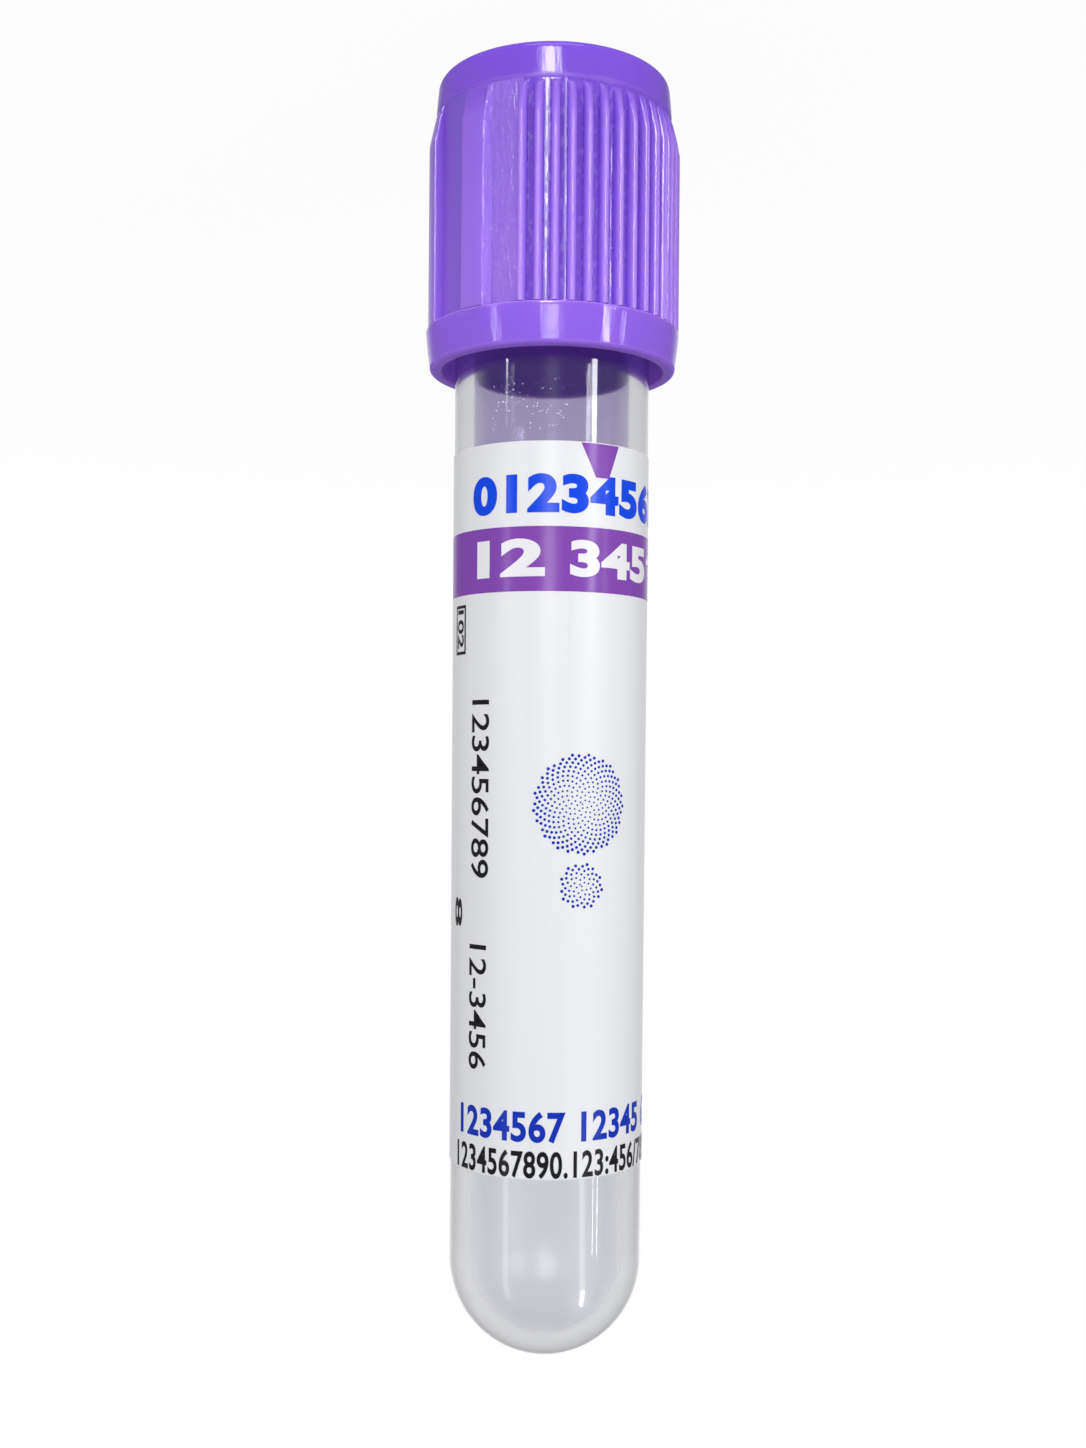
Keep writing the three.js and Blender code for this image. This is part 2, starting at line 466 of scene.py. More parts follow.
def rib_tree():
    tree, size = geometry_tree("ribs_round_a_cap", rib_sizes)
    x, y, z = split(wire(tree, "GeometryNodeInputPosition"))
    radius = calc("SQRT", x * x + y * y)
    angle = calc("DEGREES", calc("ARCTAN2", x * -1.0, y * -1.0))
    from_panel = calc("WRAP", angle - size["Panel middle"], 90.0, -90.0)
    fold = calc("ABSOLUTE", from_panel)

    # ribs: degrees to the nearest rib, then the distance across it
    past_first = fold - size["First rib"]
    half_pitch = size["Rib pitch"] * 0.5
    nearest = calc("PINGPONG", calc("ABSOLUTE", past_first), half_pitch)
    off_rib = calc("MAXIMUM", nearest, past_first * -1.0)
    middle_radius = size["Rib height"] * 0.5 + size["Floor radius"]
    across = calc("RADIANS", off_rib) * middle_radius
    share = across / size["Rib half width"]
    round_top = calc("SUBTRACT", 1.0, share * share, clamp=True)
    rib = calc("POWER", round_top, crest_power)

    # the hollow in the floor between two ribs
    floor_half = calc("RADIANS", half_pitch) * middle_radius - size["Rib half width"]
    into_floor = calc("DIVIDE", across - size["Rib half width"], floor_half, clamp=True)
    hollow = into_floor * (2.0 - into_floor) * (past_first > 0.0) * size["Hollow depth"]

    # bars
    steep = ramp(fold, size["Panel half angle"], size["Panel half angle"] + bar_step)
    slope = ramp(fold, size["Flank end"], size["Bar end"])
    bar = calc("MINIMUM", calc("SMOOTH_MIN", steep, nearly_whole, 0.1),
               calc("SMOOTH_MIN", slope, nearly_whole, 0.5))

    # the slope at the upper end, and nothing past the flange or inside the cap
    over_band = z - size["Slope start height"]
    end_slope = calc("DIVIDE", over_band, size["Slope length"], clamp=True)
    cut_bar = calc("SMOOTH_MIN", bar, end_slope, 0.12)
    rib_slope = calc("DIVIDE", over_band - size["Rib drop"],
                     size["Slope length"] - size["Rib drop"], clamp=True)
    cut_rib = rib * calc("POWER", rib_slope, rib_end_power)
    profile = calc("MAXIMUM", calc("MAXIMUM", cut_rib, cut_bar), 0.0)
    on_floor = calc("ABSOLUTE", radius - size["Floor radius"]) < 0.005 * MM
    below_flange = z < size["Flange height"] + 0.01 * MM
    here = below_flange * on_floor * (over_band > 0.0)
    height = (profile * size["Rib height"] - hollow) * here

    # the five marks
    beside_bar = ramp(fold, size["Bar end"], size["Bar end"] + gap_fade)
    low = ramp(profile, low_profile, lowest_profile)
    flank = (fold < size["Flank end"]) * beside_bar
    eroded = beside_bar * calc("MAXIMUM", low, flank) * here
    wide_gap = eroded * (past_first < 0.0)
    # the floor between two ribs: the material dulls it in spots and paints it darker as shade
    groove = eroded - wide_gap
    # painted sheen: ribs and bars get the satin mark by their height, which also paints their crests
    # paler
    ridge = calc("MAXIMUM", cut_rib, cut_bar * half_satin_and_sheen)
    satin_and_sheen = calc("MAXIMUM", ridge * here, wide_gap * half_satin_and_sheen)
    # painted highlight: a thin paler line along the flange's upper edge
    flange_edge = calc("ABSOLUTE", z - size["Flange height"]) < edge_reach
    satin_and_sheen = calc("MAXIMUM", satin_and_sheen, flange_edge * (radius - size["Floor radius"] > proud_by))
    # painted shade on the far half of each panel, beside its bar
    shade = ramp(from_panel, shade_from, shade_to) * here * (fold < size["Panel half angle"])
    on_rim = z > size["Rim height"]
    at_step = calc("COMPARE", over_band, step_at, step_reach)
    rough = (satin_and_sheen * satin_adds + polished - eroded * polished
             + at_step * step_adds + on_rim * rim_adds)
    marked = size["Geometry"]
    for mark, value in (("satin_and_sheen", satin_and_sheen), ("eroded", eroded), ("groove", groove),
                        ("shade", shade), ("skin_roughness", rough)):
        marked = wire(tree, "GeometryNodeStoreNamedAttribute", {
            "Geometry": marked, "Name": mark, "Value": value,
        }, data_type="FLOAT", domain="POINT")

    # move each point outwards
    offset = vector_calc("SCALE", vector_calc("NORMALIZE", joined(x, y)), {"Scale": height})
    raised = wire(tree, "GeometryNodeSetPosition", {"Geometry": marked, "Offset": offset})
    finish_tree(tree, raised, size["Material"])
    return tree


# %% [markdown]
# ## Materials
# `fine_grain` is the uneven skin that a moulding, a film and rubber all have, at different scales:
# one group, placed in each material with its own values. It gives a height for a Bump node and a
# value that changes slowly over the surface, for colour.


# %% The shared grain
def noise(where, scale, detail=2.0):
    return wire(where.tree, "ShaderNodeTexNoise", {"Vector": where, "Scale": scale,
                                                   "Detail": detail})


def grain_group():
    group = bpy.data.node_groups.new("fine_grain", "ShaderNodeTree")
    for name, value in (("Scale", 1.0), ("Detail", 2.0)):
        socket = group.interface.new_socket(name, in_out="INPUT", socket_type="NodeSocketFloat")
        socket.default_value = value
    for name in ("Height", "Drift"):
        group.interface.new_socket(name, in_out="OUTPUT", socket_type="NodeSocketFloat")
    given = node(group, "NodeGroupInput").outputs
    scale, detail = Wire(given["Scale"]), Wire(given["Detail"])
    where = wire(group, "ShaderNodeTexCoord", output="Object")
    node(group, "NodeGroupOutput", {
        "Height": noise(where, scale, detail), "Drift": noise(where, scale * 0.04),
    })
    return group


fine_grain = grain_group()


def new_material(name, **settings):
    """A material with a Principled BSDF set to these values, and its tree."""
    material = bpy.data.materials.new(name)
    material.use_nodes = True
    shader = material.node_tree.nodes["Principled BSDF"]
    for key, value in settings.items():
        shader.inputs[key.replace("_", " ")].default_value = value
    return material, material.node_tree, shader


def blend(factor, first, second):
    """The first colour where the factor is 0, the second where it is 1. Colours may be Wires."""
    mixed = node(factor.tree, "ShaderNodeMix", {"Factor": factor}, data_type="RGBA")
    for name, value in (("A", first), ("B", second)):
        socket = next(i for i in mixed.inputs if i.name == name and i.type == "RGBA")
        if isinstance(value, Wire):
            factor.tree.links.new(value.socket, socket)
        else:
            socket.default_value = value
    return Wire(next(o for o in mixed.outputs if o.type == "RGBA"))


def add_grain(tree, shader, scale, detail, depth, base, drift):
    """Grain in the bump, and a slow change of colour between the base and the base times drift.
    Returns both, so that a material can go on from them."""
    grain = node(tree, "ShaderNodeGroup", {}, node_tree=fine_grain)
    grain.inputs["Scale"].default_value = scale
    grain.inputs["Detail"].default_value = detail
    height, slow = [Wire(output) for output in grain.outputs]
    bump = wire(tree, "ShaderNodeBump", {"Height": height, "Distance": depth})
    tint = blend(slow, base, (*[c * drift for c in base[:3]], 1))
    feed(bump, shader, "Normal")
    feed(tint, shader, "Base Color")
    return bump, tint


def grained(name, scale, detail, depth, base, drift, **settings):
    """A material that has the grain and needs nothing more."""
    material, tree, shader = new_material(name, **settings)
    add_grain(tree, shader, scale, detail, depth, base, drift)
    return material


# %% [markdown]
# ## Violet cap material
# The cap is glossy polyethylene. It is polished on its band, panels and flange, and a little satin
# on its ribs and bars, which are also painted paler: a painted sheen for the light their crests
# catch, with a painted highlight along the flange's upper edge. The grooves between the ribs shine
# like wet paint, but dull spots break the line of light in each, and their colour is painted darker
# as shade, as is the far half of each panel beside its bar. The wide gaps beside the bars are
# scuffed, with fine upright streaks, and a little paler with painted sheen. The tree that raised
# the ribs left these as marks on the mesh, so the finish and the painted light follow the shape in
# any pose and in any export.
#
# The plastic lets some light in and out again, which Subsurface gives. The skirt at the open end is
# thinner and lets more light through, so it looks lighter than the end round the stopper: a slow
# change of colour along the cap paints that light in. Inside the skirt the colour is painted
# lighter too, for the light that comes through its wall.

# %% Violet polyethylene
violet_marks = {  # how far each mark takes the colour, and to what
    # painted sheen and highlight: ribs, bars, wide gaps and the flange's upper edge made paler
    "satin_and_sheen": (0.48, colour(187, 156, 252)),
    # painted shade: darker in the grooves between the ribs
    "groove": (0.14, colour(106, 66, 200)),
    # painted shade: darker on the far half of each panel, beside its bar
    "shade": (0.5, colour(120, 102, 200)),
}
skirt_bore = 7.46  # what is nearer the axis than this is inside the skirt
skirt_bore_from = 3  # up from the floor
streak_depth = 0.012 * MM
scuff_depth = 0.07 * MM


def violet_material():
    material, tree, shader = new_material(
        "violet_polyethylene", IOR=1.5, Subsurface_Weight=0.5,
        Subsurface_Radius=(1.0, 0.5, 1.8), Subsurface_Scale=1.2 * MM)
    bump, tint = add_grain(tree, shader, 500.0, 2.0, 0.006 * MM, colour(130, 86, 216), 0.95)
    where = wire(tree, "ShaderNodeTexCoord", output="Object")
    x, y, z = split(where)
    # painted light: paler towards the open end, where the thinner skirt lets more light through
    tint = blend(ramp(z, 2 * MM, 17 * MM, smooth=True), tint, colour(146, 100, 229))
    marks = {name: wire(tree, "ShaderNodeAttribute", output="Fac", attribute_name=name)
             for name in (*violet_marks, "eroded", "skin_roughness")}
    for name, (strength, towards) in violet_marks.items():
        tint = blend(marks[name] * strength, tint, towards)
    # painted light: the inside of the skirt is made paler, for the light that comes through its wall
    inside = vector_calc("LENGTH", joined(x, y), output="Value") < skirt_bore * MM
    tint = blend(inside * (z > skirt_bore_from * MM), tint, colour(176, 112, 255))
    feed(tint, shader, "Base Color")

    # upright streaks everywhere, and scuffs in the wide gaps
    streaks = noise(vector_calc("MULTIPLY", where, {1: (1.0, 1.0, 0.06)}), 3500.0)
    upright = vector_calc("MULTIPLY", where, {1: (1.0, 1.0, 0.5)})
    scuffs = (noise(upright, 5500.0) + streaks) * scuff_depth
    depth = streaks * streak_depth + scuffs * (marks["eroded"] - marks["groove"])
    skin = wire(tree, "ShaderNodeBump", {"Height": depth, "Distance": 1.0, "Normal": bump})
    feed(skin, shader, "Normal")

    # dull spots in the grooves
    dull = ramp(noise(upright, 3800.0, 0.0), 0.56, 0.61, high=0.3)
    feed(dull * marks["groove"] + marks["skin_roughness"], shader, "Roughness")
    return material


violet = violet_material()
cap_shell = grow(cap_blank, rib_tree(), rib_sizes, violet)
cap_shell.data.set_sharp_from_angle(angle=math.radians(40))
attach(cap_shell, "cap")
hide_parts("cap")
report(cap_shell)

# %% [markdown]
# ## The tube
# A clear moulded tube with a round bottom. It widens a little towards its mouth, so that it leaves
# the mould. Its wall is modelled with both faces, because a glass shader bends light at each: that
# is what makes the pale bands at its sides. The inside of a real one is never quite round, so the
# bore wavers by about a thousandth of a millimetre, which is enough to make a streak of light on it
# waver too. The additive inside is sprayed on and dried, which leaves the bore a little hazy, most
# of all at the round end: an attribute says how hazy each point is.
#
# The violet cap tints what is seen through the wall near it. A tint on the bore stands in for that
# light. Inside the skirt there is none, because what is seen there is the violet skirt itself.

# %% Clear tube
mouth_radius = 6.5
dome_radius = 6.35
bore_radius = 5.25
bore_dome_radius = 4.95
dome_wall = 1.35
mouth_round = 0.15
bore_unevenness = 0.0005
haze_from, haze_full = 26, 12  # along the tube: where the haze starts to grow, and where it is full
tint_from, tint_full = 40 * MM, 26 * MM  # heights over the floor
skirt_from, skirt_full = 19.3 * MM, 17.5 * MM
even_angles = [i * 360 / 192 for i in range(192)]


def bore_wobble(radius, angle, along):
    """Slight waves in the bore, none on the outside."""
    if radius > mouth_radius - 0.6:
        return 0
    turn = math.radians(angle)
    fade = min(1, radius / 3)
    waves = (math.sin(5 * turn + 0.06 * along) + 0.7 * math.sin(9 * turn - 0.11 * along + 1)
             + 0.5 * math.sin(17 * turn + 0.05 * along + 2))
    return bore_unevenness * fade * waves


def straight(start, end, steps):
    """Points of a straight run between two (radius, along) points, without its start."""
    return [tuple(a + (b - a) * i / steps for a, b in zip(start, end)) for i in range(1, steps + 1)]


bore_centre = dome_wall + bore_dome_radius
mouth_start = mouth - mouth_round
tube_outline = [
    (0, 0),
    *rounded((0, dome_radius), dome_radius, -88, 0, 30),
    *straight((dome_radius, dome_radius), (mouth_radius, mouth_start), 10),
    *rounded((mouth_radius - mouth_round, mouth_start), mouth_round, 0, 90, 4)[1:],
    *rounded((bore_radius + mouth_round, mouth_start), mouth_round, 90, 180, 4),
    *straight((bore_radius, mouth_start), (bore_dome_radius, bore_centre), 24),
    *rounded((0, bore_centre), bore_dome_radius, 0, -88, 30)[1:],
    (0, dome_wall),
]


def mark_bore(piece):
    """Stores which points are on the bore, and how hazy they are: more towards its round end."""
    mesh = piece.data
    bore = mesh.attributes.new("bore", "FLOAT", "POINT")
    haze = mesh.attributes.new("bore_haze", "FLOAT", "POINT")
    for vertex, on_bore, hazy in zip(mesh.vertices, bore.data, haze.data):
        along = tip_height - vertex.co.z / MM
        off_axis = math.hypot(vertex.co.x, vertex.co.y) / MM
        from_bore_centre = math.hypot(off_axis, min(0, along - bore_centre))
        on_bore.value = from_bore_centre < (bore_radius + mouth_radius) / 2 - 0.1
        share = min(1, max(0, (haze_from - along) / (haze_from - haze_full)))
        hazy.value = on_bore.value * (0.3 + 0.7 * share * share * (3 - 2 * share))


def clear_material():
    """Clear plastic. Lamps shine through it: to a shadow ray it is a tinted, transparent sheet."""
    tint = colour(238, 239, 242)
    material, tree, shader = new_material("clear_plastic", Base_Color=tint, Roughness=0.0,
                                          IOR=1.57, Transmission_Weight=1.0)
    bore = wire(tree, "ShaderNodeAttribute", output="Fac", attribute_name="bore")
    haze = wire(tree, "ShaderNodeAttribute", output="Fac", attribute_name="bore_haze")
    z = split(wire(tree, "ShaderNodeTexCoord", output="Object"))[2]
    bore_tint = blend(ramp(z, tint_from, tint_full), colour(228, 229, 234), colour(173, 163, 197))
    bore_tint = blend(ramp(z, skirt_from, skirt_full), bore_tint, colour(250, 245, 252))
    feed(blend(bore, tint, bore_tint), shader, "Base Color")
    feed(haze * 0.3, shader, "Roughness")
    thin = wire(tree, "ShaderNodeBsdfTransparent", {"Color": colour(250, 250, 252)})
    shadow = wire(tree, "ShaderNodeLightPath", output="Is Shadow Ray")
    mixed = wire(tree, "ShaderNodeMixShader", {0: shadow, 1: Wire(shader.outputs[0]), 2: thin})
    feed(mixed, tree.nodes["Material Output"], "Surface")
    return material


clear_tube = turned("clear_tube", tube_outline, even_angles, wobble=bore_wobble, sharp_angle=60)
mark_bore(clear_tube)
clear_tube.data.materials.append(clear_material())
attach(clear_tube, "tube")
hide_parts("tube")
report(clear_tube)

# %% [markdown]
# ## Dried additive
# The additive is sprayed into the tube and dried there. Close to the cap it leaves a few white
# specks on the bore. Geometry Nodes scatter them over a strip of the bore, with a fixed seed. They
# glow a little, so that they still show at so small a size.

# %% The tree that scatters specks
speck_sizes = {
    "Density": 3.6e6,
    "Seed": 4,
    "Smallest": 0.017 * MM,
    "Largest": 0.031 * MM,
}


def speck_tree():
    tree, size = geometry_tree("specks_on_a_wall", speck_sizes)
    spread = wire(tree, "GeometryNodeDistributePointsOnFaces", {
        "Mesh": size["Geometry"], "Density": size["Density"], "Seed": size["Seed"],
    }, output="Points")
    chance = node(tree, "FunctionNodeRandomValue", {"Seed": size["Seed"]}, data_type="FLOAT")
    chosen = Wire(next(o for o in chance.outputs if o.type == "VALUE"))
    radius = ramp(calc("POWER", chosen, 3.0), 0.0, 1.0, size["Smallest"], size["Largest"])
    speck = wire(tree, "GeometryNodeMeshIcoSphere", {"Radius": 1.0, "Subdivisions": 1})
    specks = wire(tree, "GeometryNodeInstanceOnPoints", {
        "Points": spread, "Instance": speck, "Scale": radius,
    })
    finish_tree(tree, specks, size["Material"])
    return tree


def bore_patch(left, right, low, high, columns=13):
    """A curved sheet a hair off the bore, between two angles and two places along the tube."""
    angles = np.linspace(left, right, columns)
    rows = [[place(bore_radius - 0.03, a, along) for a in angles] for along in (low, high)]
    faces = [(i, i + 1, i + 1 + columns, i + columns) for i in range(columns - 1)]
    return mesh_object("dried_additive", rows[0] + rows[1], faces)


additive = grained("dried_additive", 9000.0, 2.0, 0.01 * MM, colour(255, 248, 255), 0.95,
                   Roughness=0.6, Emission_Color=colour(214, 200, 255), Emission_Strength=1.5)
specks = grow(bore_patch(-44, 10, 60.4, 63.8), speck_tree(), speck_sizes, additive)
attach(specks, "tube")
report(specks)

# %% [markdown]
# ## The label
# A strip of white film glued round the tube, with a bare window left at the back to see the sample
# through. It is a thin closed sheet that follows the tube's taper. Its corners are a little round.

# %% Label film
window_half_width = 2.5
label_half_turn = 180 - math.degrees(math.asin(window_half_width / 6.6))
label_thickness = 0.04
glue = 0.01
label_corner = 0.8


def tube_radius(along):
    return dome_radius + (mouth_radius - dome_radius) * (along - dome_radius) / (mouth - dome_radius)


def label_sheet():
    """A grid bent round the tube, outer skin first, then the inner one, joined at the edges. The
    ends of its columns step in near the sides, which rounds the corners."""
    near_side = [label_half_turn - math.degrees(d / mouth_radius)
                 for d in (0, 0.03, 0.1, 0.22, 0.38, 0.58, 0.8)]
    angles = sorted([*near_side, *[-angle for angle in near_side],
                     *np.linspace(-label_half_turn + 10, label_half_turn - 10, 171)])
    width, rows = len(angles), 33
    vertices = []
    for skin in (glue + label_thickness, glue):
        for row in range(rows):
            for angle in angles:
                from_side = math.radians(label_half_turn - abs(angle)) * mouth_radius
                reach = max(0, label_corner - from_side)
                step_in = label_corner - math.sqrt(max(0, label_corner ** 2 - reach ** 2))
                low, high = label_low + step_in, label_high - step_in
                along = low + (high - low) * row / (rows - 1)
                vertices.append(place(tube_radius(along) + skin, angle, along))
    count = width * rows  # of one skin's vertices
    faces = [(i, i + 1, i + 1 + width, i + width)
             for row in [*range(rows - 1), *range(rows, 2 * rows - 1)]
             for i in range(row * width, row * width + width - 1)]
    edge = [*range(width), *range(2 * width - 1, count, width),
            *range(count - 2, count - width - 1, -1), *range(count - 2 * width, 0, -width)]
    faces += [(a, b, b + count, a + count) for a, b in zip(edge, edge[1:] + edge[:1])]
    return mesh_object("tube_label", vertices, faces)


film = grained("label_film", 700.0, 3.0, 0.006 * MM, colour(236, 237, 241), 0.985,
               Roughness=0.33, IOR=1.48)
tube_label = label_sheet()
tube_label.data.materials.append(film)
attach(tube_label, "tube")
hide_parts("label")
report(tube_label)

# %% [markdown]
# ## Print
# Print is ink, so it has almost no height: each mark is a flat shape, cut into narrow slices so that
# it can bend, then wrapped round the label just proud of it and made a hundredth of a millimetre
# thick. Lettering would name somebody, so plain digits stand in for it, at the same places and
# sizes. Blender's own font gives their outlines, and the curve's offset makes the bold ones.

# %% Helpers for print
ink_lift = 0.012
ink_thickness = 0.008


def flat_object(name, mesh):
    made = bpy.data.objects.new(name, mesh)
    bpy.context.scene.collection.objects.link(made)
    return made


def mesh_of(curve):
    """The flat mesh that a curve fills."""
    holder = flat_object(curve.name, curve)
    bpy.context.view_layer.update()
    depsgraph = bpy.context.evaluated_depsgraph_get()
    mesh = bpy.data.meshes.new_from_object(holder.evaluated_get(depsgraph))
    bpy.data.objects.remove(holder)
    return mesh


def digits(text, left, bottom, width, height, bold, spacing=1.0, turned_down=False):
    """Digits as a flat mesh, stretched to a place on the label: degrees across, millimetres along.
    Turned down, they read from the cap end towards the round bottom."""
    curve = bpy.data.curves.new("digits", "FONT")
    curve.body, curve.offset, curve.space_character = text, bold, spacing
    curve.resolution_u = 6
    mesh = mesh_of(curve)
    points = np.array([v.co for v in mesh.vertices])
    points = (points - points.min(0)) / np.maximum(points.max(0) - points.min(0), 1e-9)
    if turned_down:
        points = np.stack([points[:, 1], 1 - points[:, 0], points[:, 2] * 0], 1)
    points = points * (width, height, 0) + (left, bottom, 0)
    mesh.vertices.foreach_set("co", points.astype(np.float32).ravel())
    return mesh


def polygon(*loops):
    """A flat shape from its corners in order, and those of its holes if it has any."""
    curve = bpy.data.curves.new("outline", "CURVE")
    curve.dimensions, curve.fill_mode = "2D", "BOTH"
    for loop in loops:
        spline = curve.splines.new("POLY")
        spline.points.add(len(loop) - 1)
        for point, (x, y) in zip(spline.points, loop):
            point.co = (x, y, 0, 1)
        spline.use_cyclic_u = True
    return mesh_of(curve)


def box(left, bottom, right, top):
    return [(left, bottom), (right, bottom), (right, top), (left, top)]


def wrapped(name, meshes, ink, lift=ink_lift):
    """Flat meshes in degrees and millimetres, sliced every 2 degrees, bent round the label."""
    shaped = bmesh.new()
    for mesh in meshes:
        shaped.from_mesh(mesh)
        bpy.data.meshes.remove(mesh)
    xs = [v.co.x for v in shaped.verts]
    for x in np.arange(math.ceil(min(xs) / 2) * 2, max(xs), 2.0):
        everything = shaped.verts[:] + shaped.edges[:] + shaped.faces[:]
        bmesh.ops.bisect_plane(shaped, geom=everything, plane_co=(x, 0, 0), plane_no=(1, 0, 0))
    bmesh.ops.remove_doubles(shaped, verts=shaped.verts, dist=1e-5)
    for v in shaped.verts:
        skin = tube_radius(v.co.y) + glue + label_thickness + lift
        v.co = place(skin, v.co.x, v.co.y)
    for face in shaped.faces:
        face.normal_update()
        middle = face.calc_center_median()
        if face.normal.dot(Vector((middle.x, middle.y, 0))) < 0:
            face.normal_flip()
    bmesh.ops.solidify(shaped, geom=shaped.faces[:], thickness=ink_thickness * MM)
    bmesh.ops.recalc_face_normals(shaped, faces=shaped.faces)
    made_mesh = bpy.data.meshes.new(name)
    shaped.to_mesh(made_mesh)
    shaped.free()
    made_mesh.shade_smooth()
    made_mesh.set_sharp_from_angle(angle=math.radians(35))
    made_mesh.materials.append(ink)
    made = flat_object(name, made_mesh)
    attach(made, "tube")
    return report(made)


# %% The printed marks
inks = {
    name: grained(f"{name}_ink", 700.0, 3.0, 0.005 * MM, colour(*on_screen), 0.9,
                  Roughness=0.22, IOR=1.4)
    for name, on_screen in (("violet", (135, 72, 181)), ("blue", (0, 72, 235)),
                            ("black", (24, 24, 28)), ("deep_blue", (8, 50, 186)),
                            ("white", (244, 243, 248)))
}
wrapped("print_violet", [
    polygon(box(-label_half_turn, 50.02, label_half_turn, 54.12)),
    polygon([(26.0, 57.3), (34.4, 57.3), (41.4, 59.45), (16.9, 59.45)]),
], inks["violet"])
wrapped("print_on_stripe", [
    digits("12", -46, 50.95, 43, 2.4, bold=0.045),
    digits("3456", 11, 50.95, 82, 2.4, bold=0.045, spacing=1.05),
], inks["white"], lift=ink_lift + 0.012)
wrapped("print_heading", [
    digits("01234567", -50, 54.9, 148, 2.6, bold=0.05, spacing=1.08),
], inks["blue"])
wrapped("print_blue_line", [
    digits("1234567 12345 6789", -59, 15.2, 176, 2.0, bold=0.03, spacing=1.05),
], inks["deep_blue"])
wrapped("print_black", [
    polygon(box(-70, 46.2, -57, 49.4), box(-68.6, 46.4, -58.4, 49.2)),
    digits("102", -67.4, 46.6, 8, 2.5, bold=0.02, turned_down=True),
    digits("123456789", -50, 31.8, 14, 11.4, bold=0.008, turned_down=True),
    digits("8", -69, 28.5, 10, 1.9, bold=0.02, turned_down=True),
    digits("12-3456", -51, 19.5, 14, 8.0, bold=0.008, turned_down=True),
    digits("1234567890.123:456/789/0123", -63, 12.95, 186, 1.75, bold=0.022, spacing=1.05),
], inks["black"])
# %% [markdown]
# ## Dotted ornament
# The middle of the label carries a design printed in small blue dots. A seed-head is one that is
# nobody's: dot number n sits at n times the golden angle, at a distance that grows with the square
# root of n. Geometry Nodes place the dots, because the rule is one line and the dots are hundreds.

# %% The tree that prints a seed-head
golden_angle = math.radians(137.508)
seed_sizes = {
    "Dots": 330,
    "Spacing": 0.175 * MM,
    "Largest dot": 0.11 * MM,
    "Smallest dot": 0.06 * MM,
    "Middle angle": 19.5,
    "Middle height": 0.0,
    "Label radius": 0.0,
}


def seed_head_tree():
    tree, size = geometry_tree("seed_head_of_dots", seed_sizes)
    number = wire(tree, "GeometryNodeInputIndex")
    turn_by = number * golden_angle
    out_by = calc("SQRT", number) * size["Spacing"]
    spot = joined(calc("COSINE", turn_by) * out_by, calc("SINE", turn_by) * out_by)
    dots = wire(tree, "GeometryNodePoints", {"Count": size["Dots"], "Position": spot})
    dot_radius = ramp(number / size["Dots"], 0.0, 1.0, size["Smallest dot"], size["Largest dot"])
    disc = wire(tree, "GeometryNodeMeshCylinder", {
        "Vertices": 10, "Side Segments": 1, "Fill Segments": 1, "Radius": 1.0,
        "Depth": ink_thickness * MM,
    }, output="Mesh")
    flat = wire(tree, "GeometryNodeInstanceOnPoints", {
        "Points": dots, "Instance": disc, "Scale": joined(dot_radius, dot_radius, 1.0),
    })
    real = wire(tree, "GeometryNodeRealizeInstances", {0: flat})

    # bend the flat design round the label
    x, y, z = split(wire(tree, "GeometryNodeInputPosition"))
    bend = x / size["Label radius"] + calc("RADIANS", size["Middle angle"])
    radius = size["Label radius"] + z
    bent = joined(calc("SINE", bend) * radius * -1.0, calc("COSINE", bend) * radius * -1.0,
                  size["Middle height"] - y)
    placed = wire(tree, "GeometryNodeSetPosition", {"Geometry": real, "Position": bent})
    finish_tree(tree, placed, size["Material"])
    return tree


seed_head = seed_head_tree()
for name, along, dots in (("dotted_seed_head", 36.6, 330), ("dotted_seed", 31.4, 70)):
    piece = flat_object(name, bpy.data.meshes.new(name))
    values = {
        **seed_sizes,
        "Dots": dots,
        "Middle height": (tip_height - along) * MM,
        "Label radius": (tube_radius(along) + glue + label_thickness + ink_lift) * MM,
    }
    grow(piece, seed_head, values, inks["deep_blue"])
    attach(piece, "tube")
    report(piece)

# %% [markdown]
# ## Stopper
# Grey butyl rubber. Its plug fills the tube's mouth, its head sits on the tube's end, and a dish in
# the head guides the needle. The plug's soft seal rings and the small rounds at its edges are here.

# %% Rubber stopper
plug_radius = 4.95
head_radius = 6.95
septum_end = head_end - 3.2
cavity_end = septum_end - 4.2


def seal_rings():
    """Two low rings round the plug, for the grip on the bore."""
    return [(plug_radius + 0.16 * math.exp(-((along - ring) / 0.35) ** 2), along)
            for ring in (plug_end + 2.0, plug_end + 4.4)
            for along in np.linspace(ring - 1.1, ring + 1.1, 13)]


stopper_outline = [
    (0, cavity_end),
    (3.0, cavity_end),
    (3.3, cavity_end - 0.3),
    (3.3, plug_end + 0.15),
    (3.45, plug_end),
    (plug_radius - 0.65, plug_end),
    (plug_radius - 0.5, plug_end + 0.08),
    (plug_radius - 0.08, plug_end + 0.5),
    (plug_radius, plug_end + 0.65),
    *seal_rings(),
    (plug_radius, mouth + 0.2),
    (plug_radius + 0.1, mouth + 0.3),
    *rounded((head_radius - 0.2, mouth + 0.5), 0.2, -90, 0, 4),
    *rounded((head_radius - 0.3, head_end - 0.3), 0.3, 0, 90, 5),
    (3.75, head_end),
    (3.6, head_end - 0.15),
    (3.6, septum_end + 0.4),
    (3.2, septum_end),
    (0, septum_end),
]
rubber = grained("grey_rubber", 1500.0, 4.0, 0.02 * MM, colour(112, 110, 122), 0.85,
                 Roughness=0.62, IOR=1.52)
rubber_stopper = turned("rubber_stopper", stopper_outline, even_angles[::2])
rubber_stopper.data.materials.append(rubber)
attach(rubber_stopper, "stopper")
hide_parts("stopper")
report(rubber_stopper)

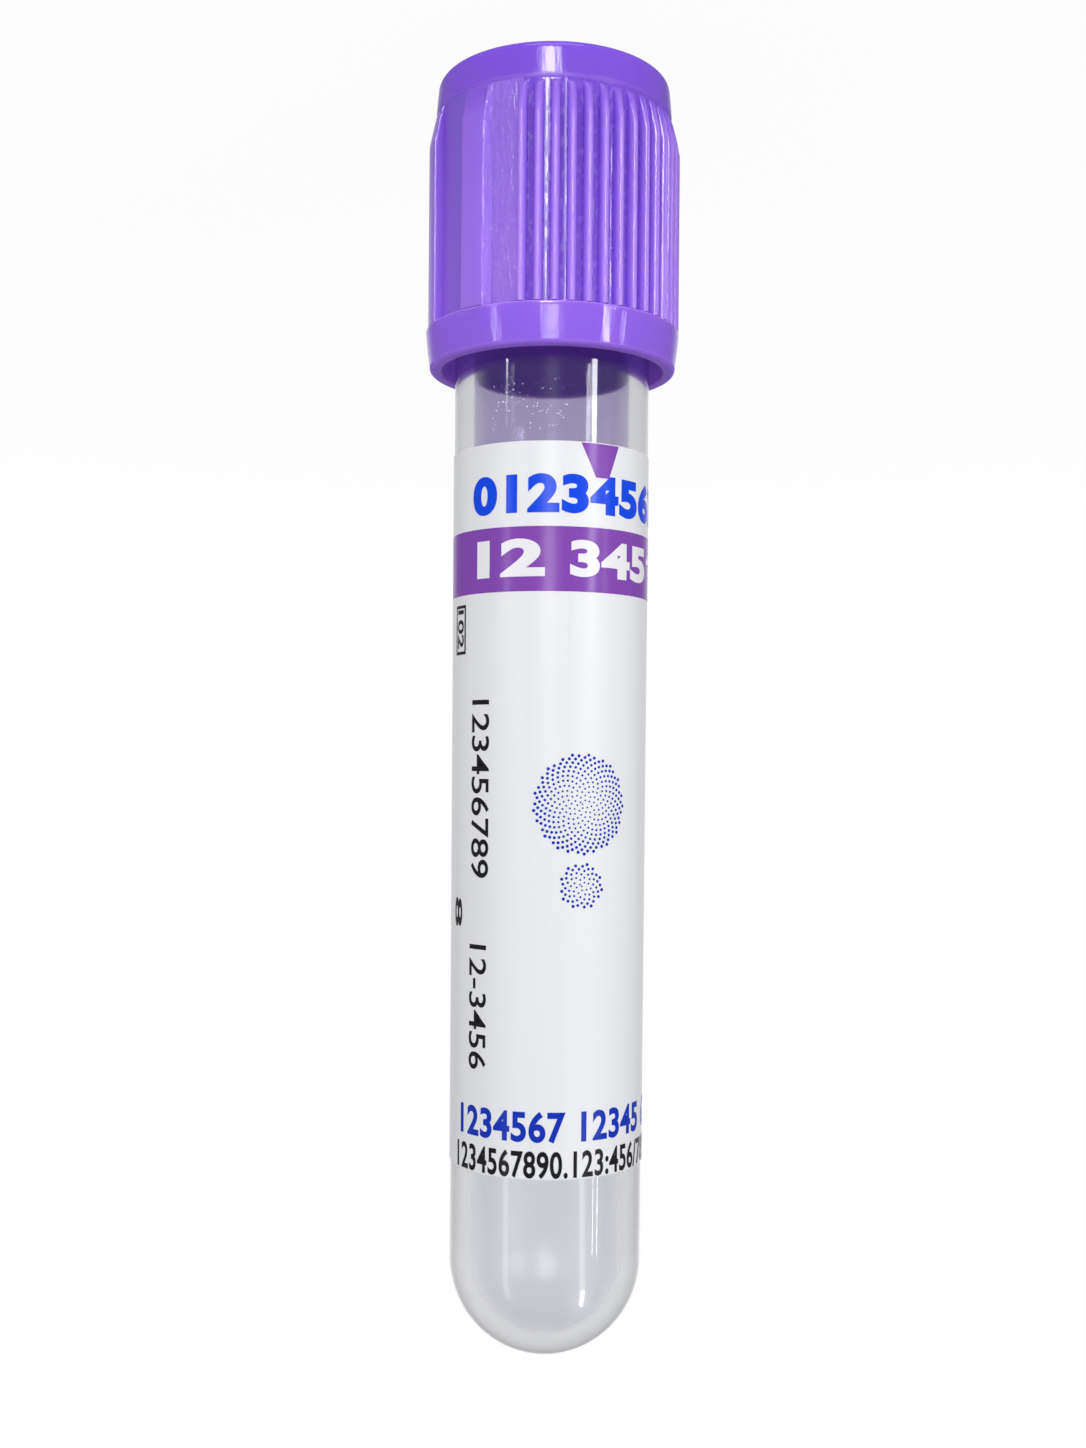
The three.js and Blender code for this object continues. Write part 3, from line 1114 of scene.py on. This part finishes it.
# %% [markdown]
# ## Floor
# A pale floor under the cap. It is white only to a ray that looks at it, from the camera or through
# the clear wall, so it lights the piece at a plain level. It keeps the piece's shadow, faintly, and
# fades into the white further out, so no edge shows. A reflection and the lamps' light pass through
# it, because the lamps are taller than the piece and reach below the floor.

# %% Floor
floor_mesh = bmesh.new()
bmesh.ops.create_circle(floor_mesh, cap_ends=True, radius=1.2, segments=96)
floor_data = bpy.data.meshes.new("floor")
floor_mesh.to_mesh(floor_data)
floor_mesh.free()
floor = flat_object("floor", floor_data)
shadow_share = 0.05  # of the floor's own shading, which shows the shadow
shadow_from, shadow_to = 0.02, 0.3  # metres from the axis, over which it fades


def floor_material():
    material, tree, shader = new_material("pale_floor", Base_Color=(0.9, 0.9, 0.9, 1),
                                          Roughness=0.9)
    path = node(tree, "ShaderNodeLightPath").outputs
    where = wire(tree, "ShaderNodeTexCoord", output="Object")
    far = vector_calc("LENGTH", where, output="Value")
    white_share = ramp(far, shadow_from, shadow_to, 1 - shadow_share, 1.0, smooth=True)
    looked_at = calc("MAXIMUM", Wire(path["Is Camera Ray"]), Wire(path["Is Transmission Ray"]))
    white = wire(tree, "ShaderNodeEmission", {"Color": (1, 1, 1, 1), "Strength": 1.0})
    pale = wire(tree, "ShaderNodeMixShader", {
        0: looked_at * white_share, 1: Wire(shader.outputs[0]), 2: white,
    })
    clear = wire(tree, "ShaderNodeBsdfTransparent", {"Color": (1, 1, 1, 1)})
    let_through = calc("MAXIMUM", Wire(path["Is Glossy Ray"]), Wire(path["Is Shadow Ray"]))
    seen = wire(tree, "ShaderNodeMixShader", {0: let_through, 1: pale, 2: clear})
    feed(seen, tree.nodes["Material Output"], "Surface")
    return material


floor_data.materials.append(floor_material())

# %% [markdown]
# ## World
# The room is white where a ray looks straight at it, or through the clear wall. As light it is a
# plain grey, a little brighter on one side, and in reflections a darker grey. A reflection finds
# white only straight behind the piece, and less of it near the bench: that gives the tube its pale
# edges. To a ray that has been inside the wall that white is wider, because the wall bends it.

# %% World
world = bpy.data.worlds.new("studio")
bpy.context.scene.world = world
world.use_nodes = True
room_light, side_light = 0.475, 0.14  # its level, and how much more on the brighter side
room_in_mirror = 0.2


def dress_world(sky):
    path = node(sky, "ShaderNodeLightPath").outputs
    aside, to_back, upwards = split(wire(sky, "ShaderNodeTexCoord", output="Generated"))
    reflected = Wire(path["Glossy Depth"]) > 0.5
    in_wall = Wire(path["Transmission Depth"]) > 0.5
    behind = ramp(to_back, in_wall * -0.75 + 0.7, in_wall * -0.7 + 1.0, smooth=True)
    near_bench = ramp(upwards, in_wall * 0.2 - 0.4, in_wall * 0.28 - 0.28,
                      in_wall * 0.2 + 0.5, 1.0)
    looked_at = calc("MAXIMUM", Wire(path["Is Camera Ray"]), Wire(path["Is Transmission Ray"]))
    white_share = calc("MAXIMUM", looked_at * (1.0 - reflected), behind * near_bench * reflected)
    soft = aside * side_light + room_light
    plain = soft + reflected * (room_in_mirror - soft)
    feed(plain + white_share * (1.0 - plain), sky.nodes["Background"], "Strength")
    sky.nodes["Background"].inputs["Color"].default_value = (1, 1, 1, 1)


dress_world(world.node_tree)

# %% [markdown]
# ## Lamps
# Tall strip lamps stand round the camera, and each is seen as an upright streak: bright ones on the
# right, fainter ones on the left, and broad soft ones in the middle of the cap. How bright a streak
# is changes along the piece, so each strip is a stack of lamps, named after the place that mirrors
# them. The flange mirrors what stands level with the cap, the clear part of the tube what stands
# just past it, the ribs and the band what stands further still, and the round bottom, or foot,
# what stands far past the other end. `groove_lamp` shows as a white line in the middle groove.


# %% Lamps
lamp_distance = 300
front_distance = 296  # for a lamp that stands in front of another one


def lamp(name, low, high, target, width, radiance):
    """A flat lamp whose long sides run between two points. It faces the target, and is as bright as
    radiance times white."""
    data = bpy.data.lights.new(name, "AREA")
    height = (high - low).length
    data.shape, data.size, data.size_y = "RECTANGLE", width * MM, height
    data.energy = radiance * math.pi * width * MM * height
    made = bpy.data.objects.new(name, data)
    bpy.context.scene.collection.objects.link(made)
    middle = (low + high) / 2
    y_axis = (high - low).normalized()
    x_axis = y_axis.cross(middle - target).normalized()
    axes = Matrix((x_axis, y_axis, x_axis.cross(y_axis))).transposed().to_4x4()
    made.matrix_world = Matrix.Translation(middle) @ axes
    return made


def strip_lamp(name, angle, start, end, width, radiance, lean=0, distance=lamp_distance):
    """An upright lamp, from one place along the tube to another. It may lean by some degrees round
    the tube, counted at its end."""
    low = place(distance, angle + lean, end)
    high = place(distance, angle, start)
    target = Vector((0, 0, (low.z + high.z) / 2))
    return lamp(name, low, high, target, width, radiance)


def soft_strip(name, angle, start, end, width, radiance, lean=0):
    """A strip lamp with soft sides: a bright middle with two dimmer strips on either side."""
    strip_lamp(name, angle, start, end, width * 0.6, radiance, lean)
    for off, share in ((-0.6, 0.22), (-0.4, 0.6), (0.4, 0.6), (0.6, 0.22)):
        aside = angle + math.degrees(width * off / lamp_distance)
        strip_lamp(name, aside, start, end, width * 0.2, radiance * share, lean)


# each: name, angle, start and end along the tube, width, radiance
strip_lamp("right_clear", 50.4, 115, 147, 33, 14)
strip_lamp("right_ribs", 50.4, 149, 198, 22, 13)
strip_lamp("right_flange", 48.6, 56, 112, 27, 15)
strip_lamp("slim_flange", 65.6, 56, 112, 7, 16)
for start, radiance in ((138, 12), (134, 7), (130, 4), (126, 2), (122, 1)):
    strip_lamp("left_clear", -53.2, start, start + 4, 14, radiance)
strip_lamp("left_ribs", -53.2, 149, 205, 50, 3.4)
soft_strip("left_flange", -50.8, 56, 112, 24, 8)
soft_strip("soft_box", -2, 150, 219, 88, 7.6)
soft_strip("band_box", -4, 220, 306, 84, 18)
groove_lamp = strip_lamp("groove_lamp", -4.6, 150, 219, 44, 13, distance=front_distance)
groove_lamp.visible_diffuse = False
soft_strip("low_soft_box", -1, 60, 108, 74, 8.3)
soft_strip("faint_box", 1, 112, 147, 70, 0.2)
soft_strip("right_foot", 53, -266, -45, 40, 2.6, lean=-10)
strip_lamp("right_foot_end", 54, -288, -268, 30, 24)
strip_lamp("right_foot_bright", 53, -262, -150, 26, 8, lean=-5, distance=front_distance)
strip_lamp("crisp_foot_one", 58.2, -88, -46, 5, 12)
strip_lamp("crisp_foot_two", 64.2, -88, -46, 5, 12)
soft_strip("left_foot", -47, -220, -45, 36, 1.6)
lamp("overhead", place(60, 0, 380), place(190, 0, 330), place(0, 0, 75), 200, 2)
print("lamps:", len(bpy.data.lights))
